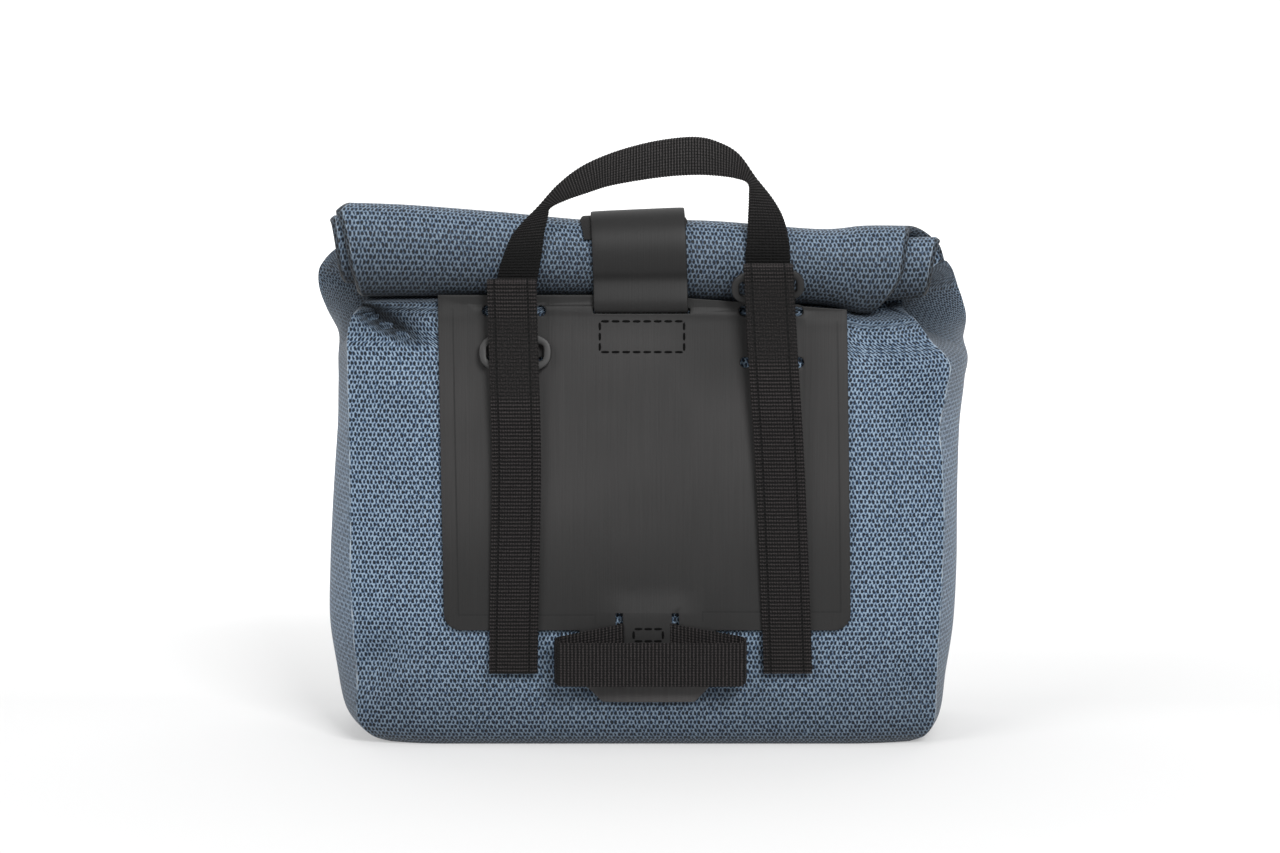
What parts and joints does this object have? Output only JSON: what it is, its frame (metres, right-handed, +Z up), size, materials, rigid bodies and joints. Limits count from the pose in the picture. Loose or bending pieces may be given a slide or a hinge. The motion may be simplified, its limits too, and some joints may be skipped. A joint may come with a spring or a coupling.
{
  "type": "roll-top bicycle pouch",
  "caption": "Roll-top cloth handlebar pouch with a mounting panel, closing tab, webbing handle, hanging fastener straps with oval rings and a lower strap loop.",
  "frame": {"origin": "middle of the flat base that the pouch stands on", "axes": "+X to the right as seen from the panel side, -Y out of the panel side, +Z up"},
  "size_m": [0.2776, 0.1178, 0.2513],
  "materials": {
    "cloth": "woven coated polyester cloth, light and navy blue threads",
    "sheet": "smooth matt black synthetic rubber sheet, laser cut",
    "webbing": "ribbed black nylon webbing",
    "loop": "black fuzzy loop fastener",
    "plastic": "moulded matt black plastic"
  },
  "bodies": {
    "root": {"bag_shell": "cloth", "back_panel": "sheet", "closure_flap": "sheet", "loop_patch": "loop", "handle": "webbing", "strap_left": "webbing", "strap_right": "webbing", "ring_left": "plastic", "ring_right": "plastic", "bottom_strap": "webbing"}
  },
  "joints": []
}
